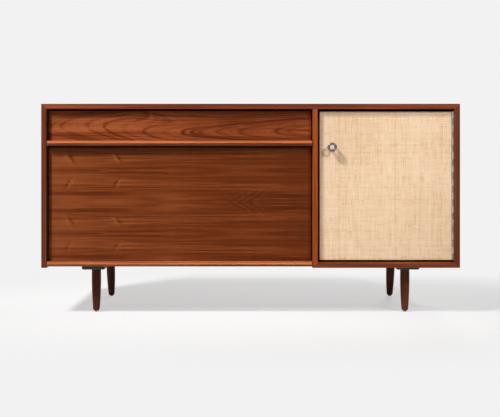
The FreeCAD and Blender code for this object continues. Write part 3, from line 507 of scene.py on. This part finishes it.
def seen_directly(tree):
    """1 for what the camera sees, straight or in metal and glass, and 0 for light that only falls on
    things."""
    path = tree.nodes.new("ShaderNodeLightPath").outputs
    share = path["Is Camera Ray"]
    for ray in ("Is Glossy Ray", "Is Transmission Ray"):
        either = tree.nodes.new("ShaderNodeMath")
        either.operation = "MAXIMUM"
        tree.links.new(share, either.inputs[0])
        tree.links.new(path[ray], either.inputs[1])
        share = either.outputs[0]
    return share


def studio_floor(half, shadow):
    """A wide level floor that keeps a share of the shadow and fades into the surround away from the
    credenza."""
    mesh = bpy.data.meshes.new("floor")
    corner_points = [(-half, -half, 0), (half, -half, 0), (half, half, 0), (-half, half, 0)]
    mesh.from_pydata(corner_points, [], [(0, 1, 2, 3)])
    floor = bpy.data.objects.new("floor", mesh)
    bpy.context.scene.collection.objects.link(floor)
    finish = Finish("studio_floor")
    tree = finish.tree
    sideways = finish.x * 0.55
    far = finish.maths("SQRT", sideways * sideways + finish.y * finish.y)
    keep = finish.spread(far, 0.45, 1.1, 1.0, 0.0) * shadow
    speck = finish.noise(finish.point(finish.x, finish.y, 0.0), scale=35.0)
    finish.surface(finish.ramp(speck, (0.3, paint(238, 238, 238)), (0.7, pale)), 0.9)
    glow = finish.node("ShaderNodeEmission", pale, 1.0).outputs[0]
    seen = finish.node("ShaderNodeMixShader", keep, glow, finish.shader.outputs[0]).outputs[0]
    dull = finish.node("ShaderNodeBsdfDiffuse", paint(190, 190, 190)).outputs[0]
    either = finish.node("ShaderNodeMixShader", seen_directly(tree), dull, seen).outputs[0]
    tree.links.new(either, tree.nodes["Material Output"].inputs["Surface"])
    mesh.materials.append(finish.material)


def surround(fill):
    """Pale to the eye and in reflections, and a soft warm fill light otherwise."""
    world = bpy.data.worlds.new("studio")
    world.use_nodes = True
    tree = world.node_tree
    tree.nodes.clear()
    choose = tree.nodes.new("ShaderNodeMixShader")
    tree.links.new(seen_directly(tree), choose.inputs[0])
    for place, colour, strength in ((1, warm_fill, fill), (2, pale, 1.0)):
        light = tree.nodes.new("ShaderNodeBackground")
        light.inputs["Color"].default_value = colour
        light.inputs["Strength"].default_value = strength
        tree.links.new(light.outputs[0], choose.inputs[place])
    out = tree.nodes.new("ShaderNodeOutputWorld")
    tree.links.new(choose.outputs[0], out.inputs["Surface"])
    bpy.context.scene.world = world


def softbox(name, spot, aim, size, power, spread):
    """A round lamp of a size, turned to a point, whose beam opens to a spread in degrees."""
    lamp = bpy.data.lights.new(name, "AREA")
    lamp.shape = "DISK"
    lamp.size = size
    lamp.energy = power
    lamp.spread = math.radians(spread)
    holder = bpy.data.objects.new(name, lamp)
    holder.location = spot
    holder.rotation_euler = (Vector(aim) - Vector(spot)).to_track_quat("-Z", "Y").to_euler()
    bpy.context.scene.collection.objects.link(holder)


drawers_middle, door_middle = (-0.5, -0.2, 0.6), (0.6, -0.2, 0.6)
studio_floor(half=9.0, shadow=0.42)
surround(fill=0.04)
softbox("left_softbox", spot=(-2.84, -2.2, 4.4), aim=drawers_middle, size=1.0, power=44.0, spread=64.0)
softbox("right_softbox", spot=(2.5, -2.6, 2.8), aim=door_middle, size=0.5, power=2.7, spread=28.0)
softbox("low_softbox", spot=(-2.84, -2.2, 1.5), aim=drawers_middle, size=1.0, power=1.2, spread=64.0)
softbox("top_softbox", spot=(0.0, 0.2, 3.0), aim=(0.0, 0.0, 0.7), size=1.2, power=1.0, spread=120.0)
softbox("rear_softbox", spot=(1.4, 3.2, 2.0), aim=(0.0, 0.2, 0.4), size=1.2, power=14.0, spread=90.0)

# Camera: level, straight on to the front, three metres from the case.
eye_distance, eye_height = 3.22275, 0.585
camera_data = bpy.data.cameras.new("camera")
camera_data.sensor_width = 36.0
camera_data.lens = 59.39
camera_data.shift_x = -0.0012
camera_data.shift_y = -0.1083
camera = bpy.data.objects.new("camera", camera_data)
camera.location = (0.0, -eye_distance, eye_height)
camera.rotation_euler = (math.radians(90.0), 0.0, 0.0)
bpy.context.scene.collection.objects.link(camera)
bpy.context.scene.camera = camera
bpy.context.scene.view_settings.view_transform = "Standard"
